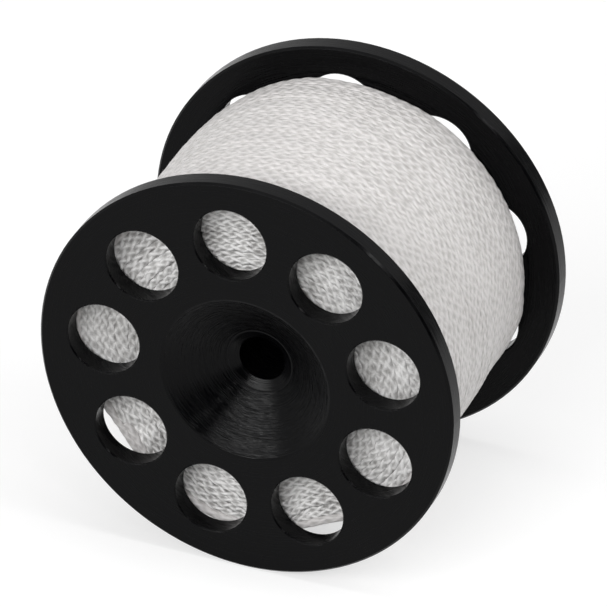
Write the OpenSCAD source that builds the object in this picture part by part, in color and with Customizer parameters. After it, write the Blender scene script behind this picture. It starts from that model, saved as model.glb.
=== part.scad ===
// Finger reel: a spool turned in one piece from black acetal, wound full of white braided line.
// It lies on the rims of its flanges. Its axis runs along Y, with the front flange towards -Y,
// and its origin is the middle of the bore. Lengths are in millimetres, angles in degrees.

/* [Flanges] */
// Outer diameter of both flanges
flange_d = 100; // [96:1:130]
// Thickness of each flange
flange_t = 5; // [4:0.5:8]
// Clear width between the flanges, which the line fills
drum_w = 60; // [50:1:90]
// Chamfer on the edges of the rims
rim_chamfer = 0.5; // [0.2:0.1:1]

/* [Barrel and bore] */
// Diameter of the barrel that carries the line
barrel_d = 44; // [42:0.5:48]
// Diameter of the bore
bore_d = 11; // [8:0.5:13]

/* [Finger cones] */
// Diameter of each cone where it meets the flange's face
cone_d = 40.8; // [36:0.2:42]
// Depth of each cone, from the flange's face to the land round the bore's bevel
cone_depth = 8.7; // [6:0.1:12]
// Outer diameter of the bevel round the bore's mouth
ring_d = 15.4; // [14:0.2:18]
// Width of the flat land between the cone and the bevel
ring_land = 0.3; // [0.1:0.1:0.8]
// Depth of the bevel, from the land to the bore
bevel_depth = 1.4; // [0.8:0.1:3]
// Width of the broken edge round the cone's mouth
mouth_break = 0.4; // [0.2:0.1:0.8]

/* [Clip holes] */
// Number of clip holes in each flange
hole_count = 9; // [5:1:9]
// Diameter of the circle that the holes' centres lie on
hole_circle_d = 69; // [67:0.5:72]
// Diameter of each hole
hole_d = 17.5; // [10:0.5:18.5]
// Chamfer on both edges of each hole
hole_chamfer = 0.3; // [0.1:0.1:0.6]
// Angle of the first hole above +X
hole_phase = 15.8; // [0:0.1:40]

/* [Line] */
// Diameter of the braided line
cord_d = 1.8; // [1.4:0.1:1.9]
// Outer diameter of the wound line beside the flanges
fill_d = 84.4; // [70:0.2:86]
// Rise of the wound line's radius from the flanges to the middle
crown = 1.4; // [0:0.1:3]
// Turns of line in the outer layer
outer_turns = 24; // [10:1:24]
// Gap between each flange and the nearest turn of the outer layer
edge_gap = 0.8; // [0.4:0.1:2]
// Centreline radius of the bend where each end of the outer layer dives into the line below
tuck_bend = 3; // [2.5:0.1:5]
// Angle above +X where the outer layer starts and ends
tuck_angle = 240; // [0:5:355]

/* [Fits] */
// Clearance between the wound line and the barrel and flanges
wound_clearance = 0.1; // [0.05:0.05:0.3]
// Clearance between the outer layer and the line below it
layer_clearance = 0.1; // [0.05:0.05:0.3]
// Clearance round each tucked end
tuck_clearance = 0.15; // [0.1:0.05:0.3]

/* [Hidden] */
$fn = 96;

// Round tools are longer than what they cut by this much at each end
overcut = 1;
// Each end of the outer layer stands off the floor of its slot by this much
end_gap = 0.02;
// Straight bands that make up the core's crowned surface
crown_bands = 16;
// Power of the crown's curve: the wound line is flat in the middle and drops beside the flanges
crown_power = 4;

half_w = drum_w / 2 + flange_t;
core_half_w = drum_w / 2 - wound_clearance;

// The outer layer is one tube with this many rings a turn and sides a ring
rings = 24;
sides = 6;
bend_rings = 5;
first_turn_z = drum_w / 2 - edge_gap - cord_d / 2;
turn_pitch = 2 * first_turn_z / outer_turns;
// A chord between two rings dips this far below the turn's own circle
chord_dip = (fill_d / 2 + crown) * (1 - cos(180 / rings));
core_drop = cord_d + chord_dip + layer_clearance;

// Radius of the wound line's surface at height z along the axis
function wound_r(z) = fill_d / 2 + crown * (1 - pow(abs(2 * z / drum_w), crown_power));
function core_r(z) = wound_r(z) - core_drop;
function turn_r(z) = wound_r(z) - cord_d / 2;

// The pieces are modelled with their axis along Z, front flange up, and laid over along Y
module lay() rotate([90, 0, 0]) children();

// ---- Spool body: both flanges, the barrel, the bore and the two finger cones in one solid ----

// Half section from the bore's wall out to the barrel, for the front half of the spool
function body_section() =
    let (slope = (cone_d / 2 - ring_d / 2 - ring_land) / cone_depth,
         flange_r = flange_d / 2)
    [[bore_d / 2, half_w - cone_depth - bevel_depth],
     [ring_d / 2, half_w - cone_depth],
     [ring_d / 2 + ring_land, half_w - cone_depth],
     [cone_d / 2 - slope * mouth_break / 2, half_w - mouth_break / 2],
     [cone_d / 2 + mouth_break / 2, half_w],
     [flange_r - rim_chamfer, half_w],
     [flange_r, half_w - rim_chamfer],
     [flange_r, drum_w / 2 + rim_chamfer],
     [flange_r - rim_chamfer, drum_w / 2],
     [barrel_d / 2, drum_w / 2]];

function flipped(points) = [for (i = [len(points) - 1:-1:0]) [points[i][0], -points[i][1]]];

module turned_blank()
    rotate_extrude()
        polygon(concat(body_section(), flipped(body_section())));

// Section of one clip hole's cutter, flared at both faces of the flange
module hole_cutter() {
    r = hole_d / 2;
    mid = flange_t / 2;
    flare = hole_chamfer + overcut;
    rotate_extrude()
        polygon([[0, -mid - overcut], [r + flare, -mid - overcut], [r, -mid + hole_chamfer],
                 [r, mid - hole_chamfer], [r + flare, mid + overcut], [0, mid + overcut]]);
}

module clip_holes()
    for (side = [-1, 1], i = [0:hole_count - 1])
        rotate(hole_phase + i * 360 / hole_count)
            translate([hole_circle_d / 2, 0, side * (drum_w + flange_t) / 2])
                hole_cutter();

module spool_body()
    color("#1d1c20")
        lay()
            difference() {
                turned_blank();
                clip_holes();
            }

// ---- Line core: every layer of line under the outer one, as one plain solid ----

// Slot that an end of the outer layer dives into, at the start of a turn that runs towards +Y
module tuck_slot(z) {
    slot_w = cord_d + 2 * tuck_clearance;
    floor_r = turn_r(z) - tuck_bend - cord_d - end_gap;
    depth = turn_r(z) - floor_r;
    translate([floor_r, 0, z]) {
        translate([0, -tuck_bend, 0])
            rotate([0, 90, 0])
                cylinder(d = slot_w, h = depth);
        translate([0, -tuck_bend, -slot_w / 2])
            cube([depth, tuck_bend, slot_w]);
    }
}

module core_blank() {
    levels = [for (i = [0:crown_bands]) core_half_w * (2 * i / crown_bands - 1)];
    inner_r = barrel_d / 2 + wound_clearance;
    rotate_extrude()
        polygon(concat([[inner_r, -core_half_w]], [for (z = levels) [core_r(z), z]],
                       [[inner_r, core_half_w]]));
}

module line_core()
    color("#dedbd6")
        lay()
            difference() {
                core_blank();
                rotate(tuck_angle)
                    tuck_slot(first_turn_z);
                rotate(tuck_angle)
                    mirror([0, 1, 0])
                        tuck_slot(-first_turn_z);
            }

// ---- Outer layer: one unbroken tube, wound from the front flange to the back one ----

// A point r from the axis and t along the turn's tangent, at angle a and height z
function wound_point(r, t, a, z) = [r * cos(a) - t * sin(a), r * sin(a) + t * cos(a), z];

// Centreline from the slot's floor: straight out, round the bend and onto the first turn
function tuck_in_points(z) =
    concat([wound_point(turn_r(z) - tuck_bend - cord_d, -tuck_bend, tuck_angle, z)],
           [for (i = [0:bend_rings - 1])
               let (b = 90 - 90 * i / bend_rings)
               wound_point(turn_r(z) - tuck_bend * (1 - cos(b)), -tuck_bend * sin(b), tuck_angle, z)]);

function turn_points() =
    [for (i = [0:outer_turns * rings])
        let (z = first_turn_z - turn_pitch * i / rings)
        wound_point(turn_r(z), 0, tuck_angle + 360 * i / rings, z)];

function tuck_out_points(z) =
    concat([for (i = [1:bend_rings])
               let (b = 90 * i / bend_rings)
               wound_point(turn_r(z) - tuck_bend * (1 - cos(b)), tuck_bend * sin(b), tuck_angle, z)],
           [wound_point(turn_r(z) - tuck_bend - cord_d, tuck_bend, tuck_angle, z)]);

line_path = concat(tuck_in_points(first_turn_z), turn_points(), tuck_out_points(-first_turn_z));

function unit(v) = v / norm(v);

// Direction of the path at point i, between its neighbours
function heading(path, i) = unit(path[min(i + 1, len(path) - 1)] - path[max(i - 1, 0)]);

// Ring of the tube round point i: one axis of it stays as near the spool's own as it can
function ring_points(path, i) =
    let (t = heading(path, i),
         side = unit([0, 0, 1] - t * t[2]),
         up = cross(side, t))
    [for (k = [0:sides - 1])
        path[i] + cord_d / 2 * (cos(360 * k / sides) * up + sin(360 * k / sides) * side)];

module tube(path) {
    last = (len(path) - 1) * sides;
    skin = [for (i = [0:len(path) - 2], k = [0:sides - 1])
        let (a = i * sides + k, b = i * sides + (k + 1) % sides)
        each [[a, b, b + sides], [a, b + sides, a + sides]]];
    caps = [for (k = [1:sides - 2])
        each [[0, k + 1, k], [last, last + k, last + k + 1]]];
    polyhedron(points = [for (i = [0:len(path) - 1]) each ring_points(path, i)],
               faces = concat(skin, caps));
}

// Least distance between points of the path that are half a turn or more apart, less the line
function least_gap(path) =
    min([for (i = [0:len(path) - 1 - rings / 2])
            min([for (j = [i + rings / 2:len(path) - 1]) norm(path[i] - path[j])])]) - cord_d;

module line_outer_layer() {
    echo(outer_layer_least_gap_mm = least_gap(line_path), points = len(line_path));
    color("#eceae6")
        lay()
            tube(line_path);
}

spool_body();
line_core();
line_outer_layer();
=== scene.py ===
"""Finger reel: a black turned acetal spool wound full of white braided nylon line.

The spool's axis runs along Y with its front flange towards -Y, and it lies on its rims.
Sizes named _MM are in millimetres, and angles round the reel are in degrees above +X.
Everything that is built is in metres.
"""

import math

import bmesh
import bpy
import numpy as np
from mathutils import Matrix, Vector


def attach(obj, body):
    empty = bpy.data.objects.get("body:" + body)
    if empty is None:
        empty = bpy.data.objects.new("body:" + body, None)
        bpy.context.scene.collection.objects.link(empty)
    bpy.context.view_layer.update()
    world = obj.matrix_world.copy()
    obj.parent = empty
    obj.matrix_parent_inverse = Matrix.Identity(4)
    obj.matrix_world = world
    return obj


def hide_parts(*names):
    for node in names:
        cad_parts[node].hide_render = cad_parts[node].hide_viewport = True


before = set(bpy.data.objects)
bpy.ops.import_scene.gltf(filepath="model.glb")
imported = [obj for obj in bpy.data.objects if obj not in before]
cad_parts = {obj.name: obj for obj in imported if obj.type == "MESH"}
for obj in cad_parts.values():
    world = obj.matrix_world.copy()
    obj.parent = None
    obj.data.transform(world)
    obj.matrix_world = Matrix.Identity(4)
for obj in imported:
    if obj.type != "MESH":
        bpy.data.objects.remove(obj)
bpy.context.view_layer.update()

MM = 0.001

# ---- Sizes of the spool, as in the part's source ----

RIM_R_MM = 50.0
FLANGE_Y_MM = 30.0  # inner face of each flange
BARREL_R_MM = 22.0
CONE_R_MM = 20.4
BEVEL_R_MM = 7.7  # outside of the bevel round the bore

# ---- The line and how it is wound ----

CORD_R_MM = 0.9
LAYER_PITCH_MM = 1.57  # round line nests into the layer below
LAST_TURN_Y_MM = 28.95  # middle of the turns that lie against the flanges
STEPS_ACROSS = 32  # from the first turn of a layer to its last
END_TURNS = 11  # turns of the inner layers that lie against each flange
# Each turn lies straight round the reel and steps over to the next in this zone. The line
# also climbs from one layer to the next there.
STEP_ZONE_START_DEG = 215.0
STEP_ZONE_DEG = 50.0
FIRST_TURN_DEG = STEP_ZONE_START_DEG + STEP_ZONE_DEG
CLIMB_TURNS = STEP_ZONE_DEG / 360

# Outside radius of the winding half way between the flanges, and how late it drops beside them
MIDDLE_R_MM = 43.6
CROWN_POWER = 4
# Places between the flanges where it is fuller or slacker: the rise in mm, the middle of the
# place as an angle and in mm along Y, and how far it reaches in degrees and in mm
UNEVEN_PLACES = (
    (0.6, 148, 16, 50, 16),
    (-0.9, -32, 21, 45, 12),
    (-0.9, 55, 0, 55, 40),
)
# Outside radius of the winding beside each flange, at angles round the reel. It was wound by
# hand, so it is fuller at some angles than at others.
FRONT_EDGE_MM = {
    0: 42.8, 40: 42.3, 90: 42.2, 150: 43.2, 176: 44.3, 196: 42.9, 216: 41.2,
    236: 42.7, 256: 43.7, 276: 42.1, 296: 40.9, 316: 42.9, 336: 43.8,
}
BACK_EDGE_MM = {
    -32: 42.3, -14: 42.7, -4: 41.95, 8: 41.6, 20: 41.4, 36: 41.45, 48: 41.6, 66: 41.85,
    76: 41.6, 90: 41.8, 106: 42.4, 132: 42.5, 142: 43.0, 150: 43.3, 160: 43.2, 200: 42.3,
    270: 42.3,
}

# ---- Braid: three strands each way round the line, one over one ----

STRANDS_EACH_WAY = 3
BRAID_REPEAT_MM = 3.3  # between two strands that lean the same way
RINGS_PER_REPEAT = 9
RING_STEP_MM = BRAID_REPEAT_MM / RINGS_PER_REPEAT
STRAND_RISE = 0.25  # how far a strand climbs over the one it crosses, as a share of the relief
STRAND_ROUND = 0.75  # how round its own back is, as a share of the relief

# Radius in the valleys between strands, how far the strands stand up, and how sharp their crests
# are. The outer turns were pulled tight, and those beside the flanges are slacker.
TAUT_SHAPE = (0.84, 0.11, 2.2)
SLACK_SHAPE = (0.73, 0.24, 2.6)
# How slack the turns beside the front flange are, 0 to 1, at angles round the reel. Slack line
# is round and its strands stand out, and taut line is pressed flat by the turns beside it.
FRONT_SLACK = {
    16: 0.2, 56: 0.45, 96: 1.0, 136: 0.5, 176: 0.15, 216: 0.5, 256: 1.0, 296: 0.9, 336: 0.25,
}
BACK_SLACK = 0.5
LEAST_RELIEF = 0.5  # share of the strands' height that is left where such a turn is taut
ROUND, FLAT = 2.0, 5.0  # powers that shape the line's section
TAUT_SPREAD = 0.2  # how much wider than round line taut line is pressed


def clear_selection():
    bpy.ops.object.select_all(action="DESELECT")


# ---- Camera ----

CAMERA_AZIMUTH_DEG = 22.69
CAMERA_ELEVATION_DEG = 31.85
CAMERA_PLACE = (0.5568, -1.3326, 0.8974)
CAMERA_LENS_MM = 445.37
SENSOR_WIDTH_MM = 36
NEAREST, FARTHEST = 0.1, 20


def place_camera():
    clear_selection()
    turn = (math.radians(90 - CAMERA_ELEVATION_DEG), 0, math.radians(CAMERA_AZIMUTH_DEG))
    bpy.ops.object.camera_add(location=CAMERA_PLACE, rotation=turn)
    camera = bpy.context.object
    camera.data.sensor_width = SENSOR_WIDTH_MM
    camera.data.lens = CAMERA_LENS_MM
    camera.data.clip_start = NEAREST
    camera.data.clip_end = FARTHEST
    bpy.context.scene.camera = camera


place_camera()

# ---- Materials ----


def linear(hex_colour):
    """An sRGB colour such as "#1d1c20" as the linear RGBA that a shader takes."""
    parts = [int(hex_colour[i : i + 2], 16) / 255 for i in (1, 3, 5)]
    return [c / 12.92 if c <= 0.04045 else ((c + 0.055) / 1.055) ** 2.4 for c in parts] + [1.0]


def add_node(tree, kind, settings=(), inputs=(), links=()):
    """Adds a node. settings are its own properties, inputs are values, links are other sockets."""
    node = tree.nodes.new(kind)
    for name, value in dict(settings).items():
        setattr(node, name, value)
    for name, value in dict(inputs).items():
        node.inputs[name].default_value = value
    for name, socket in dict(links).items():
        tree.links.new(socket, node.inputs[name])
    return node


def new_material(name):
    """An empty material with its node tree, its shader and its output."""
    material = bpy.data.materials.new(name)
    material.use_nodes = True
    tree = material.node_tree
    tree.nodes.clear()
    shader = add_node(tree, "ShaderNodeBsdfPrincipled")
    add_node(tree, "ShaderNodeOutputMaterial", links={"Surface": shader.outputs[0]})
    return material, tree, shader


# Marks of the lathe's tool. Real ones are about 0.1 mm wide and far shallower, too fine to show,
# so they are drawn coarser.
MARK_WIDTH_MM = 0.4
MARK_LENGTH_MM = 7.0
MARK_DEPTH_MM = 0.13
CLEAN_CUT_SHARE = 0.25  # depth of the marks outside the cones, as a share of that in them
BROKEN_EDGE_MM = 0.15  # radius that the sharp edges are broken to
ACETAL_ROUGHNESS = (0.1, 0.34)  # at the bottom of the marks and on the ridges between them


def turned_acetal():
    """Black acetal rod turned on a lathe: nearly black, it shows mostly what it reflects, dully,
    and fine rings from the tool round its axis."""
    material, tree, shader = new_material("black_acetal_turned")
    shader.inputs["Base Color"].default_value = linear("#040405")
    shader.inputs["IOR"].default_value = 1.48
    shader.inputs["Specular IOR Level"].default_value = 0.095
    place = add_node(tree, "ShaderNodeTexCoord")
    split = add_node(tree, "ShaderNodeSeparateXYZ", links={0: place.outputs["Object"]})
    flat = add_node(
        tree,
        "ShaderNodeCombineXYZ",
        links={"X": split.outputs["X"], "Y": split.outputs["Z"]},
    )
    radius = add_node(
        tree, "ShaderNodeVectorMath", {"operation": "LENGTH"}, links={0: flat.outputs[0]}
    )
    depth = add_node(
        tree, "ShaderNodeMath", {"operation": "ABSOLUTE"}, links={0: split.outputs["Y"]}
    )
    # grows along every turned surface: outwards on the faces, sideways on the rims
    tool_path = add_node(
        tree,
        "ShaderNodeMath",
        {"operation": "ADD"},
        links={0: radius.outputs["Value"], 1: depth.outputs[0]},
    )
    # finest across the tool's path, and long along it, so each mark is a short arc
    mark_place = add_node(
        tree,
        "ShaderNodeCombineXYZ",
        links={"X": split.outputs["X"], "Y": split.outputs["Z"], "Z": tool_path.outputs[0]},
    )
    stretched = add_node(
        tree,
        "ShaderNodeVectorMath",
        {"operation": "DIVIDE"},
        {1: (MARK_LENGTH_MM * MM, MARK_LENGTH_MM * MM, MARK_WIDTH_MM * MM)},
        {0: mark_place.outputs[0]},
    )
    marks = add_node(
        tree,
        "ShaderNodeTexNoise",
        inputs={"Scale": 1.0, "Detail": 2.0, "Roughness": 0.6},
        links={"Vector": stretched.outputs["Vector"]},
    )
    # the tool chattered in the cones, and cut cleanly elsewhere
    in_cone = add_node(
        tree,
        "ShaderNodeMath",
        {"operation": "COMPARE"},
        {1: (CONE_R_MM + BEVEL_R_MM) / 2 * MM, 2: (CONE_R_MM - BEVEL_R_MM) / 2 * MM},
        {0: radius.outputs["Value"]},
    )
    depth_share = add_node(
        tree,
        "ShaderNodeMath",
        {"operation": "MULTIPLY_ADD"},
        {1: 1 - CLEAN_CUT_SHARE, 2: CLEAN_CUT_SHARE},
        {0: in_cone.outputs[0]},
    )
    mark_height = add_node(
        tree,
        "ShaderNodeMath",
        {"operation": "MULTIPLY"},
        links={0: marks.outputs[0], 1: depth_share.outputs[0]},
    )
    # the sharp edges were broken with a file, so each one catches a thin line of light
    broken_edges = add_node(
        tree, "ShaderNodeBevel", {"samples": 6}, {"Radius": BROKEN_EDGE_MM * MM}
    )
    bump = add_node(
        tree,
        "ShaderNodeBump",
        inputs={"Strength": 1.0, "Distance": MARK_DEPTH_MM * MM},
        links={"Height": mark_height.outputs[0], "Normal": broken_edges.outputs[0]},
    )
    tree.links.new(bump.outputs[0], shader.inputs["Normal"])
    smooth, dull = ACETAL_ROUGHNESS
    dullness = add_node(
        tree,
        "ShaderNodeMapRange",
        inputs={"From Min": 0.35, "From Max": 0.65, "To Min": smooth, "To Max": dull},
        links={"Value": marks.outputs[0]},
    )
    tree.links.new(dullness.outputs[0], shader.inputs["Roughness"])
    return material


# Height of the braid at a place on the line, as steps of arithmetic: name, operation, operands.
# "along" counts braid repeats along the line, "around" counts turns round it, and "crest" says
# how sharp the strands' crests are. braid_height() does the same for the mesh.
BRAID_STEPS = (
    ("strands_round", "MULTIPLY", "around", STRANDS_EACH_WAY),
    ("right", "SUBTRACT", "strands_round", "along"),
    ("left", "ADD", "strands_round", "along"),
    ("right_strand", "ROUND", "right"),
    ("left_strand", "ROUND", "left"),
    ("off_right", "SUBTRACT", "right", "right_strand"),
    ("off_left", "SUBTRACT", "left", "left_strand"),
    ("strand_sum", "ADD", "right_strand", "left_strand"),
    ("odd", "FLOORED_MODULO", "strand_sum", 2),
    ("rise", "MULTIPLY_ADD", "odd", -2 * STRAND_RISE, STRAND_RISE),
    ("right_angle", "MULTIPLY", "off_right", math.pi),
    ("left_angle", "MULTIPLY", "off_left", math.pi),
    ("right_cosine", "COSINE", "right_angle"),
    ("left_cosine", "COSINE", "left_angle"),
    ("right_back", "POWER", "right_cosine", "crest"),
    ("left_back", "POWER", "left_cosine", "crest"),
    ("right_lift", "MULTIPLY", "rise", "left_cosine"),
    ("left_drop", "MULTIPLY", "rise", "right_cosine"),
    ("right_height", "MULTIPLY_ADD", "right_back", STRAND_ROUND, "right_lift"),
    ("left_round", "MULTIPLY", "left_back", STRAND_ROUND),
    ("left_height", "SUBTRACT", "left_round", "left_drop"),
    ("height", "MAXIMUM", "right_height", "left_height"),
    ("right_on_top", "GREATER_THAN", "right_height", "left_height"),
)
SHADE_CENTRE = 0.4  # heights shrink towards this one where a turn is taut
# Yarns side by side in a strand, and lumps along them in a braid repeat. Real filaments are too
# fine to show, so these stand for bundles of them. The last number keeps the two leans apart.
YARN_PATTERN = (3.5, 4.5, 5.0)
# The line's colour has patches of painted light and shade
SHADE_PATCH_MM = 8.0  # size of the slightly lighter and darker patches
# Heights of the darkest and the lightest shade, where the yarn and the patches are average
SHADE_FROM, SHADE_TO = -0.05, 0.9


def braided_nylon(name, shape, valley, crest, relief_mm, yarn_share, shade_patch_share):
    """Braided nylon: white with a soft sheen and the fine filaments of its yarn. Its colour holds
    painted shade in the valleys between the strands and a painted highlight along the back of each
    strand; valley and crest are the colours of these."""
    material, tree, shader = new_material(name)
    shader.inputs["Roughness"].default_value = 0.45
    shader.inputs["IOR"].default_value = 1.53
    shader.inputs["Sheen Weight"].default_value = 0.1
    uv = add_node(tree, "ShaderNodeUVMap", {"uv_map": "braid"})
    split = add_node(tree, "ShaderNodeSeparateXYZ", links={0: uv.outputs[0]})
    sharpness = add_node(tree, "ShaderNodeValue")
    sharpness.outputs[0].default_value = shape[2]
    found = {"along": split.outputs[0], "around": split.outputs[1], "crest": sharpness.outputs[0]}
    for step, operation, *operands in BRAID_STEPS:
        values = {k: v for k, v in enumerate(operands) if not isinstance(v, str)}
        links = {k: found[v] for k, v in enumerate(operands) if isinstance(v, str)}
        settings = {"operation": operation}
        found[step] = add_node(tree, "ShaderNodeMath", settings, values, links).outputs[0]
    share = add_node(tree, "ShaderNodeAttribute", {"attribute_name": "relief"})
    off_middle = add_node(
        tree, "ShaderNodeMath", {"operation": "SUBTRACT"}, {1: SHADE_CENTRE}, {0: found["height"]}
    )
    standing = add_node(
        tree,
        "ShaderNodeMath",
        {"operation": "MULTIPLY_ADD"},
        {2: SHADE_CENTRE},
        {0: off_middle.outputs[0], 1: share.outputs["Fac"]},
    )
    across = add_node(
        tree,
        "ShaderNodeMix",
        {"data_type": "FLOAT"},
        links={
            "Factor": found["right_on_top"],
            "A": found["off_left"],
            "B": found["off_right"],
        },
    )
    yarn_place = add_node(
        tree,
        "ShaderNodeCombineXYZ",
        links={"X": across.outputs["Result"], "Y": found["along"], "Z": found["right_on_top"]},
    )
    stretched = add_node(
        tree,
        "ShaderNodeVectorMath",
        {"operation": "MULTIPLY"},
        {1: YARN_PATTERN},
        {0: yarn_place.outputs[0]},
    )
    filaments = add_node(
        tree,
        "ShaderNodeTexNoise",
        inputs={"Scale": 1.0, "Detail": 3.0, "Roughness": 0.7},
        links={"Vector": stretched.outputs["Vector"]},
    )
    surface = add_node(
        tree,
        "ShaderNodeMath",
        {"operation": "MULTIPLY_ADD"},
        {1: yarn_share},
        {0: filaments.outputs[0], 2: standing.outputs[0]},
    )
    bump = add_node(
        tree,
        "ShaderNodeBump",
        inputs={"Strength": 1.0, "Distance": relief_mm * MM},
        links={"Height": surface.outputs[0]},
    )
    tree.links.new(bump.outputs[0], shader.inputs["Normal"])
    # painted light and shade in patches, for the uneven shade of turns that don't lie evenly
    place = add_node(tree, "ShaderNodeTexCoord")
    shade_patches = add_node(
        tree,
        "ShaderNodeTexNoise",
        inputs={"Scale": 1 / (SHADE_PATCH_MM * MM), "Detail": 3.0},
        links={"Vector": place.outputs["Object"]},
    )
    shade = add_node(
        tree,
        "ShaderNodeMath",
        {"operation": "MULTIPLY_ADD"},
        {1: shade_patch_share},
        {0: shade_patches.outputs[0], 2: surface.outputs[0]},
    )
    # both noises are 0.5 on average
    middle = 0.5 * (yarn_share + shade_patch_share)
    # painted shade and highlight: the colour runs from the valley colour on the braid's low places
    # to the crest colour on the strands' backs
    lightness = add_node(
        tree,
        "ShaderNodeMapRange",
        inputs={"From Min": middle + SHADE_FROM, "From Max": middle + SHADE_TO},
        links={"Value": shade.outputs[0]},
    )
    painted_shade_tint = add_node(
        tree,
        "ShaderNodeMix",
        {"data_type": "RGBA"},
        {"A": linear(valley), "B": linear(crest)},
        {"Factor": lightness.outputs[0]},
    )
    tree.links.new(painted_shade_tint.outputs["Result"], shader.inputs["Base Color"])
    return material


ACETAL = turned_acetal()
# Two copies of the line's material, for its shape and for its light. The taut one paints faint
# shade and highlight, for the outer turns in broad soft light. The slack one paints deep shade and
# bright highlights, for the turns beside the flanges, which are lit through the clip holes.
TAUT_NYLON = braided_nylon(
    "white_nylon_braided_taut_faint_painted_shade",
    TAUT_SHAPE,
    valley="#b8b5b3",
    crest="#d8d5d4",
    relief_mm=0.1,
    yarn_share=0.9,
    shade_patch_share=0.6,
)
SLACK_NYLON = braided_nylon(
    "white_nylon_braided_slack_deep_painted_shade",
    SLACK_SHAPE,
    valley="#8c8a88",
    crest="#f3f2f1",
    relief_mm=0.19,
    yarn_share=1.0,
    shade_patch_share=1.3,
)


# ---- Braided line ----


def braid_height(along, around, crest):
    """Height of the braid's surface, 0 to 1, at a length along it in mm and an angle round it."""
    turn = around / math.tau
    right = STRANDS_EACH_WAY * turn - along / BRAID_REPEAT_MM
    left = STRANDS_EACH_WAY * turn + along / BRAID_REPEAT_MM
    right_strand, left_strand = np.round(right), np.round(left)
    right_cosine = np.cos(np.pi * (right - right_strand))
    left_cosine = np.cos(np.pi * (left - left_strand))
    rise = STRAND_RISE * (1 - 2 * ((right_strand + left_strand) % 2))
    right_height = rise * left_cosine + STRAND_ROUND * np.abs(right_cosine) ** crest
    left_height = -rise * right_cosine + STRAND_ROUND * np.abs(left_cosine) ** crest
    return np.maximum(right_height, left_height)


def slow_wave(values, wavelengths, seed):
    """A smooth wandering value along a list of values, mostly between -1 and 1."""
    random = np.random.default_rng(seed)
    total = np.zeros_like(values)
    for wavelength in wavelengths:
        total += np.sin(math.tau * (values / wavelength + random.random()))
    return total / math.sqrt(len(wavelengths))


# Corners of one ring of the line, from its crown. They are closest round the crown, which shows.
RING_ANGLES = np.radians(
    [0, 15, 30, 45, 60, 76, 98, 130, 180, 230, 262, 284, 300, 315, 330, 345]
)
SIDES = len(RING_ANGLES)
SHAPE_CENTRE = 0.5  # heights shrink towards this one where a turn is taut


def braided_tube(name, path, outward, lengths, twist, shape, relief, square, spread, material):
    """A closed tube of braided line along a path in mm. outward says which way its crown points,
    square is the power that shapes its section, and spread says how much wider it is pressed."""
    tangent = np.gradient(path, axis=0)
    tangent /= np.linalg.norm(tangent, axis=1)[:, None]
    up = outward - tangent * np.sum(outward * tangent, axis=1)[:, None]
    up /= np.linalg.norm(up, axis=1)[:, None]
    side = np.cross(tangent, up)
    around = RING_ANGLES[None, :]
    valley, rise, crest = shape
    power = square[:, None]
    full = np.abs(np.cos(around)) ** power + np.abs(np.sin(around)) ** power
    height = braid_height(lengths[:, None], around + twist[:, None], crest)
    r = valley + rise * (SHAPE_CENTRE + (height - SHAPE_CENTRE) * relief[:, None])
    r = r / full ** (1 / power)
    points = (
        path[:, None, :]
        + (r * np.cos(around))[:, :, None] * up[:, None, :]
        + (r * np.sin(around) * spread[:, None])[:, :, None] * side[:, None, :]
    )
    rings = len(path)
    count = rings * SIDES
    ends = np.array([path[0], path[-1]])
    vertices = np.concatenate([points.reshape(-1, 3), ends]) * MM
    ring, k = np.meshgrid(np.arange(rings - 1), np.arange(SIDES), indexing="ij")
    ring, k = ring.reshape(-1), k.reshape(-1)
    a = ring * SIDES + k
    b = ring * SIDES + (k + 1) % SIDES
    quads = np.stack([a, b, b + SIDES, a + SIDES], axis=-1)
    first, last = np.arange(SIDES), (rings - 1) * SIDES + np.arange(SIDES)
    start_cap = np.stack([np.roll(first, -1), first, np.full(SIDES, count)], axis=-1)
    end_cap = np.stack([last, np.roll(last, -1), np.full(SIDES, count + 1)], axis=-1)
    mesh = bpy.data.meshes.new(name)
    mesh.from_pydata(vertices.tolist(), [], quads.tolist() + start_cap.tolist() + end_cap.tolist())
    mesh.polygons.foreach_set("use_smooth", np.ones(len(mesh.polygons), bool))

    # Where each face corner is on the braid: repeats along the line, and turns round it
    edges = np.append(RING_ANGLES, math.tau)
    along = lengths / BRAID_REPEAT_MM
    near, far = edges[k], edges[k + 1]
    corners = [(near, ring), (far, ring), (far, ring + 1), (near, ring + 1)]
    quad_uv = np.stack(
        [np.stack([along[i], (angle + twist[i]) / math.tau], axis=-1) for angle, i in corners],
        axis=1,
    )
    cap_uv = np.concatenate(
        [np.tile([along[i], twist[i] / math.tau], (3 * SIDES, 1)) for i in (0, -1)]
    )
    braid = mesh.uv_layers.new(name="braid")
    braid.uv.foreach_set(
        "vector", np.concatenate([quad_uv.reshape(-1), cap_uv.reshape(-1)]).astype(np.float32)
    )
    share = mesh.attributes.new("relief", "FLOAT", "POINT")
    share.data.foreach_set("value", np.append(np.repeat(relief, SIDES), relief[[0, -1]]))
    mesh.update()
    piece = bpy.data.objects.new(name, mesh)
    bpy.context.scene.collection.objects.link(piece)
    mesh.materials.append(material)
    return piece


ROUGH_STEPS_A_TURN = 360
# The braid is a little looser and tighter along the line, and the line rolls over as it goes
STRETCH_MM = 1.6
STRETCH_WAVES_MM = (37.0, 61.0, 109.0, 151.0)
START_ROLL = math.pi / 6
ROLL = 0.45
ROLL_WAVES_MM = (23.0, 53.0, 110.0, 190.0)


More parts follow.
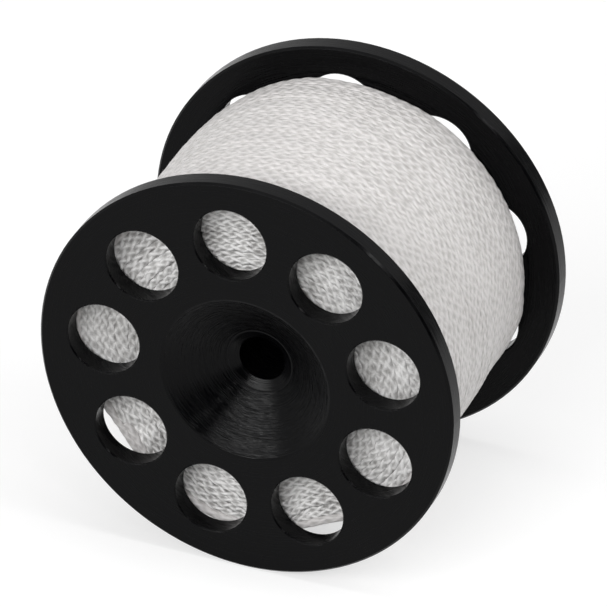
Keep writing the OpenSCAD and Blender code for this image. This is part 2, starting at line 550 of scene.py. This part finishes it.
def lay_line(name, place_at, first, last, outward_at, seed, pieces, shape, slack_at, material):
    """Braided line from one turn to another, as a number of tubes. place_at gives its path,
    outward_at where its crown points and slack_at how slack it is, at a list of turns."""
    rough_turn = np.linspace(first, last, int(abs(last - first) * ROUGH_STEPS_A_TURN) + 2)
    steps = np.linalg.norm(np.diff(place_at(rough_turn), axis=0), axis=1)
    rough_length = np.concatenate([[0], np.cumsum(steps)])
    rings = int(rough_length[-1] / RING_STEP_MM) + 1
    length = np.linspace(0, rough_length[-1], rings)
    turn = np.interp(length, rough_length, rough_turn)
    path, outward, slack = place_at(turn), outward_at(turn), slack_at(turn)
    # a line that is taut all along has a shape with low strands, which stay as they are
    relief = LEAST_RELIEF + (1 - LEAST_RELIEF) * slack if slack.any() else np.ones_like(slack)
    square = FLAT + (ROUND - FLAT) * slack
    # a turn beside a flange has no room to spread past it
    room = (FLANGE_Y_MM - np.abs(path[:, 1])) / (shape[0] + shape[1])
    spread = np.clip(room, 1, 1 + TAUT_SPREAD * (1 - slack))
    braid_length = length + STRETCH_MM * slow_wave(length, STRETCH_WAVES_MM, seed)
    twist = START_ROLL + ROLL * slow_wave(length, ROLL_WAVES_MM, seed + 1)
    cuts = np.linspace(0, rings - 1, pieces + 1).astype(int)
    laid = []
    for number, (lo, hi) in enumerate(zip(cuts[:-1], cuts[1:]), 1):
        part = slice(lo, hi + 1)
        laid.append(
            braided_tube(
                f"{name}_{number}",
                path[part],
                outward[part],
                braid_length[part],
                twist[part],
                shape,
                relief[part],
                square[part],
                spread[part],
                material,
            )
        )
    return laid


def smooth_step(value):
    share = np.clip(value, 0, 1)
    return share * share * (3 - 2 * share)


def off_angle(angle_deg, middle_deg):
    """How far an angle is from another, -180 to 180."""
    return (angle_deg - middle_deg + 180) % 360 - 180


def around_reel(table, angle_deg):
    """The value at an angle, from a table of values at some angles, with soft changes between."""
    angles = np.array(sorted(table), float)
    values = np.array([table[a] for a in sorted(table)], float)
    angles = np.append(angles, angles[0] + 360)
    values = np.append(values, values[0])
    angle = (angle_deg - angles[0]) % 360 + angles[0]
    k = np.clip(np.searchsorted(angles, angle, side="right") - 1, 0, len(angles) - 2)
    share = smooth_step((angle - angles[k]) / (angles[k + 1] - angles[k]))
    return values[k] + (values[k + 1] - values[k]) * share


def hump(angle_deg, y, middle_deg, middle_y, reach_deg, reach_y):
    """1 at the middle of a place on the winding, and less away from it."""
    off = off_angle(angle_deg, middle_deg)
    return np.exp(-((off / reach_deg) ** 2) - ((y - middle_y) / reach_y) ** 2)


def wound_r(angle_deg, y):
    """Outside radius of the winding."""
    front, back = around_reel(FRONT_EDGE_MM, angle_deg), around_reel(BACK_EDGE_MM, angle_deg)
    edge = np.where(y < 0, front, back)
    middle = MIDDLE_R_MM
    for rise, *place in UNEVEN_PLACES:
        middle = middle + rise * hump(angle_deg, y, *place)
    return middle + (edge - middle) * np.clip(np.abs(y) / LAST_TURN_Y_MM, 0, 1) ** CROWN_POWER


def on_reel(r, angle_deg, y):
    angle = np.radians(angle_deg)
    return np.stack([r * np.cos(angle), y, r * np.sin(angle)], axis=-1)


# ---- Outer layer ----

# The turns wander sideways and lift a little. These waves are counted in turns.
WANDER_MM = 0.13
WANDER_WAVES = (0.37, 0.61, 1.7, 2.9)
LIFT_MM = 0.13
LIFT_WAVES = (0.21, 0.43, 1.3)


def outer_turn_place(turn):
    """Path of the outer layer. It has climbed out of the layer below at turn 0, beside the front
    flange."""
    angle_deg = FIRST_TURN_DEG + 360 * turn
    number = np.clip(np.floor(turn), 0, STEPS_ACROSS)
    stepped = smooth_step((turn - number - 1 + CLIMB_TURNS) / CLIMB_TURNS)
    across = np.minimum(number + stepped, STEPS_ACROSS) / STEPS_ACROSS
    wander = WANDER_MM * slow_wave(turn, WANDER_WAVES, seed=11) * np.sin(np.pi * across)
    y = LAST_TURN_Y_MM * (2 * across - 1) + wander
    climb_start = smooth_step(-turn / CLIMB_TURNS)
    climb_end = smooth_step((turn - STEPS_ACROSS - 1 + CLIMB_TURNS) / CLIMB_TURNS)
    lift = LIFT_MM * slow_wave(turn, LIFT_WAVES, seed=12)
    r = wound_r(angle_deg, y) - CORD_R_MM + lift - LAYER_PITCH_MM * (climb_start + climb_end)
    return on_reel(r, angle_deg, y)


def outer_turn_outward(turn):
    return on_reel(np.ones_like(turn), FIRST_TURN_DEG + 360 * turn, np.zeros_like(turn))


def lay_outer_turns():
    return lay_line(
        "outer_turns",
        outer_turn_place,
        first=-CLIMB_TURNS,
        last=STEPS_ACROSS + 1,
        outward_at=outer_turn_outward,
        seed=40,
        pieces=5,
        shape=TAUT_SHAPE,
        slack_at=np.zeros_like,
        material=TAUT_NYLON,
    )


# ---- Turns of the inner layers beside the flanges ----

# Slack turns lift, and stand off the flange, up to a limit. These waves are counted in turns.
LEAST_LOOSE = 0.3  # how loosely a taut turn lies, as a share of how loosely a slack one does
END_LIFT_MM = 0.17
END_LIFT_WAVES = (0.12, 0.45, 0.77, 2.3)
STAND_OFF_MM = 0.3
STAND_OFF_WAVES = (0.83, 1.9, 0.29)
MOST_STAND_OFF_MM = 0.9

# Beside the front flange the turns have slipped outwards at one place, most of all half way
# between two radii
SLIP_DEG = 282.0
SLIP_MM = 2.2
SLIP_BEFORE_DEG = 22  # where it starts
SLIP_RISE_DEG = 12  # how far it takes to grow
SLIP_AFTER_DEG = 9  # where it ends
SLIP_R_MM = (28, 42)
# At another they are tangled, with short kinks outwards and off the flange
TANGLE_DEG = 212.0
TANGLE_REACH_DEG = 14
KINK_MM = 0.35
KINK_WAVES = (0.031, 0.047)
KINK_OFF_MM = 0.5
KINK_OFF_WAVES = (0.027, 0.053)


def disorder_at(angle_deg, r):
    """How far the turns have slipped, and how far they are tangled, 0 to 1."""
    off = off_angle(angle_deg, SLIP_DEG)
    nearest, farthest = SLIP_R_MM
    within = np.sin(np.pi * np.clip((r - nearest) / (farthest - nearest), 0, 1)) ** 2
    rising = smooth_step((off + SLIP_BEFORE_DEG) / SLIP_RISE_DEG)
    falling = smooth_step((SLIP_AFTER_DEG - off) / SLIP_AFTER_DEG)
    tangled = np.exp(-((off_angle(angle_deg, TANGLE_DEG) / TANGLE_REACH_DEG) ** 2))
    return rising * falling * within, tangled


def lay_end_turns(side, name):
    """The turns of the inner layers against one flange. side is -1 for the front and 1 for the
    back. They carry on from where the outer layer climbs down."""
    table = FRONT_EDGE_MM if side < 0 else BACK_EDGE_MM
    start_deg = STEP_ZONE_START_DEG if side < 0 else FIRST_TURN_DEG
    barrel_turn_r = BARREL_R_MM + CORD_R_MM

    def slack_at(turn):
        if side > 0:
            return np.full_like(turn, BACK_SLACK)
        return around_reel(FRONT_SLACK, start_deg - 360 * turn)

    def place_at(turn):
        angle_deg = start_deg + side * 360 * turn
        top_r = around_reel(table, angle_deg) - CORD_R_MM - LAYER_PITCH_MM
        number = np.floor(turn)
        layer = number + smooth_step((turn - number - 1 + CLIMB_TURNS) / CLIMB_TURNS)
        r = barrel_turn_r + (top_r - barrel_turn_r) * (1 - layer / END_TURNS)
        # the line lies tight where it comes down, and loosens over a third of a turn
        loose = smooth_step(3 * turn) * (LEAST_LOOSE + (1 - LEAST_LOOSE) * slack_at(turn))
        r = r + END_LIFT_MM * loose * slow_wave(turn, END_LIFT_WAVES, seed=31 + side)
        off_share = 1 + slow_wave(turn, STAND_OFF_WAVES, seed=21 + side)
        stand_off = STAND_OFF_MM * loose * off_share
        if side < 0:
            slipped, tangled = disorder_at(angle_deg, r)
            kink = KINK_MM * tangled * slow_wave(turn, KINK_WAVES, seed=61)
            r = r + SLIP_MM * slipped + kink
            off_share = 1 + slow_wave(turn, KINK_OFF_WAVES, seed=62)
            stand_off = stand_off + KINK_OFF_MM * tangled * off_share
        y = side * (LAST_TURN_Y_MM - np.clip(stand_off, 0, MOST_STAND_OFF_MM))
        return on_reel(r, angle_deg, y)

    def outward_at(turn):
        return np.tile([0.0, float(side), 0.0], (len(turn), 1))

    return lay_line(
        name,
        place_at,
        first=0,
        last=END_TURNS,
        outward_at=outward_at,
        seed=50 + side,
        pieces=1,
        shape=SLACK_SHAPE,
        slack_at=slack_at,
        material=SLACK_NYLON,
    )


# ---- Layers under the outer turns ----

UNDER_LAYER_MM = 1.6  # from the outside of the winding down to the turns under the outer ones
UNDER_EDGE_GAP_MM = 0.3  # from the middle of the last turn to the ring's side
BARREL_GAP_MM = 0.1  # between the barrel and the ring
BANDS_ACROSS = 16
BANDS_ROUND = 96
SMOOTH_UNDER_DEG = 40


def inner_layers():
    """The layers under the outer turns, as one closed ring that shows only between turns."""
    half_width = LAST_TURN_Y_MM - UNDER_EDGE_GAP_MM
    inner_r = BARREL_R_MM + BARREL_GAP_MM
    # only a start: the ring's outer side is moved out to the winding further down
    edge_r = min(min(FRONT_EDGE_MM.values()), min(BACK_EDGE_MM.values())) - 2.0
    clear_selection()
    middle = (inner_r + edge_r) / 2 * MM
    bpy.ops.mesh.primitive_plane_add(size=1, location=(middle, 0, 0))
    piece = bpy.context.object
    piece.name = "inner_layers"
    bpy.ops.object.transform_apply(location=True, rotation=False, scale=False)
    bpy.ops.object.mode_set(mode="EDIT")
    bpy.ops.mesh.select_all(action="SELECT")
    size = ((edge_r - inner_r) * MM, 2 * half_width * MM, 1)
    bpy.ops.transform.resize(value=size, center_override=(middle, 0, 0))
    bpy.ops.mesh.delete(type="ONLY_FACE")
    # the outer side of the section is split, so that it can follow the winding
    mesh = bmesh.from_edit_mesh(piece.data)
    for vertex in mesh.verts:
        vertex.select_set(vertex.co.x > middle)
    mesh.select_flush_mode()
    bmesh.update_edit_mesh(piece.data)
    bpy.ops.mesh.subdivide(number_cuts=BANDS_ACROSS - 1)
    bpy.ops.mesh.select_all(action="SELECT")
    bpy.ops.mesh.spin(steps=BANDS_ROUND, angle=math.tau, center=(0, 0, 0), axis=(0, 1, 0))
    bpy.ops.mesh.select_all(action="SELECT")
    bpy.ops.mesh.remove_doubles(threshold=1e-6)
    bpy.ops.mesh.normals_make_consistent(inside=False)
    bpy.ops.object.mode_set(mode="OBJECT")
    for vertex in piece.data.vertices:
        x, y, z = vertex.co / MM
        r = math.hypot(x, z)
        on_outer_side = r > inner_r + 1
        if on_outer_side:
            new_r = wound_r(math.degrees(math.atan2(z, x)), y) - UNDER_LAYER_MM
            vertex.co.x, vertex.co.z = vertex.co.x * new_r / r, vertex.co.z * new_r / r
    bpy.ops.object.shade_smooth_by_angle(angle=math.radians(SMOOTH_UNDER_DEG))
    piece.data.materials.append(TAUT_NYLON)
    share = piece.data.attributes.new("relief", "FLOAT", "POINT")
    share.data.foreach_set("value", np.ones(len(piece.data.vertices)))
    braid = piece.data.uv_layers.new(name="braid")
    cord_girth = math.tau * CORD_R_MM
    for loop, corner in zip(piece.data.loops, braid.uv):
        x, y, z = (c / MM for c in piece.data.vertices[loop.vertex_index].co)
        around = math.atan2(z, x) * math.hypot(x, z)
        corner.vector = (around / BRAID_REPEAT_MM, y / cord_girth)
    return piece


# ---- The reel ----

outer = lay_outer_turns()
ends = lay_end_turns(-1, "front_end_turns") + lay_end_turns(1, "back_end_turns")
core = inner_layers()
for piece in outer + ends + [core]:
    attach(piece, "root")
for piece in outer:
    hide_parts("line_outer_layer")
for piece in ends + [core]:
    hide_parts("line_core")

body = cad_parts["spool_body"]
for slot in body.material_slots:
    slot.material = ACETAL

# ---- Floor, backdrop and light ----


def shown_directly(tree):
    """1 for the rays that show a thing itself: seen, mirrored or looked through to."""
    path = add_node(tree, "ShaderNodeLightPath")
    mirrored = add_node(
        tree,
        "ShaderNodeMath",
        {"operation": "MAXIMUM"},
        links={0: path.outputs["Is Camera Ray"], 1: path.outputs["Is Glossy Ray"]},
    )
    shown = add_node(
        tree,
        "ShaderNodeMath",
        {"operation": "MAXIMUM"},
        links={0: mirrored.outputs[0], 1: path.outputs["Is Transmission Ray"]},
    )
    return shown.outputs[0]


PAPER_GLOW = 0.56  # brings the lit paper up to white, and leaves the reel's shadow on it
WORLD_LIGHT = 0.13
FLOOR_SIZE = 8


def white_floor():
    """A sheet of white matt paper: an even white without gloss, with the reel's soft shadow."""
    clear_selection()
    bpy.ops.mesh.primitive_plane_add(size=FLOOR_SIZE, location=(0, 0, -RIM_R_MM * MM))
    floor = bpy.context.object
    floor.name = "floor"
    material, tree, shader = new_material("white_paper_matt")
    shader.inputs["Base Color"].default_value = linear("#bcbcbc")
    shader.inputs["Roughness"].default_value = 0.9
    shader.inputs["Specular IOR Level"].default_value = 0.0
    shader.inputs["Emission Color"].default_value = (1, 1, 1, 1)
    glow = add_node(
        tree,
        "ShaderNodeMath",
        {"operation": "MULTIPLY"},
        {1: PAPER_GLOW},
        {0: shown_directly(tree)},
    )
    tree.links.new(glow.outputs[0], shader.inputs["Emission Strength"])
    floor.data.materials.append(material)


def light_world():
    """Weak light from all round, and white where the world itself shows."""
    world = bpy.data.worlds.new("white_studio")
    bpy.context.scene.world = world
    world.use_nodes = True
    tree = world.node_tree
    tree.nodes.clear()
    strength = add_node(
        tree,
        "ShaderNodeMix",
        {"data_type": "FLOAT"},
        {"A": WORLD_LIGHT, "B": 1.0},
        {"Factor": shown_directly(tree)},
    )
    background = add_node(
        tree, "ShaderNodeBackground", links={"Strength": strength.outputs["Result"]}
    )
    background.inputs["Color"].default_value = (1, 1, 1, 1)
    add_node(tree, "ShaderNodeOutputWorld", links={"Surface": background.outputs[0]})


def towards(azimuth_deg, elevation_deg):
    """A direction. Azimuth 0 is in front of the reel, and it grows to the right."""
    azimuth, elevation = math.radians(azimuth_deg), math.radians(elevation_deg)
    level = math.cos(elevation)
    return Vector((math.sin(azimuth) * level, -math.cos(azimuth) * level, math.sin(elevation)))


SOFTBOX_DISTANCE = 1.3


def add_softbox(name, azimuth_deg, elevation_deg, size, radiance, mirrored=True):
    """A soft rectangular lamp that faces the reel. mirrored says whether the acetal shows it."""
    place = towards(azimuth_deg, elevation_deg)
    clear_selection()
    bpy.ops.object.light_add(type="AREA", location=place * SOFTBOX_DISTANCE)
    lamp = bpy.context.object
    lamp.name = name
    lamp.rotation_euler = (-place).to_track_quat("-Z", "Y").to_euler()
    lamp.data.shape = "RECTANGLE"
    lamp.data.size, lamp.data.size_y = size
    lamp.data.energy = radiance * math.pi * size[0] * size[1]
    lamp.visible_camera = False
    lamp.visible_glossy = mirrored


def add_card(name, colour, azimuth_deg, elevation_deg, distance, size):
    """A matt card that faces the reel, seen only as the acetal mirrors it."""
    clear_selection()
    place = towards(azimuth_deg, elevation_deg)
    bpy.ops.mesh.primitive_plane_add(size=1, location=place * distance)
    card = bpy.context.object
    card.name = name
    card.scale = (*size, 1)
    card.rotation_euler = (-place).to_track_quat("Z", "Y").to_euler()
    material, tree, shader = new_material(f"matt_card_{name}")
    shader.inputs["Base Color"].default_value = linear(colour)
    shader.inputs["Specular IOR Level"].default_value = 0.0
    card.data.materials.append(material)
    card.visible_camera = False
    card.visible_diffuse = False
    card.visible_shadow = False


white_floor()
light_world()
# the dark card is mirrored in the cone's left side, and the grey one in the rims on the right
add_card("dark_room_side", "#050505", 42, 20, 2.2, (4.1, 2.6))
add_card("grey_card_behind", "#9f9f9f", 143, 7, 0.5, (0.3, 0.2))
# the key lights the front and the line in its clip holes, and makes the shine in the cone
add_softbox("key_softbox", -21, 31, (1.4, 0.26), 10.5)
add_softbox("overhead_softbox", -8, 60, (1.4, 0.7), 0.4)
# these two light the winding, from the right and from above
add_softbox("right_softbox", 95, 30, (1.2, 1.2), 1.75)
add_softbox("top_fill", 90, 80, (0.4, 1.6), 3.5, mirrored=False)
# small and bright, for short streaks on the rims' edges and in the cone
add_softbox("side_lamp", 44, 34, (0.18, 0.18), 9.0)
add_softbox("back_fill", 175, 32, (1.6, 1.0), 0.4, mirrored=False)

bpy.context.scene.view_settings.view_transform = "Standard"
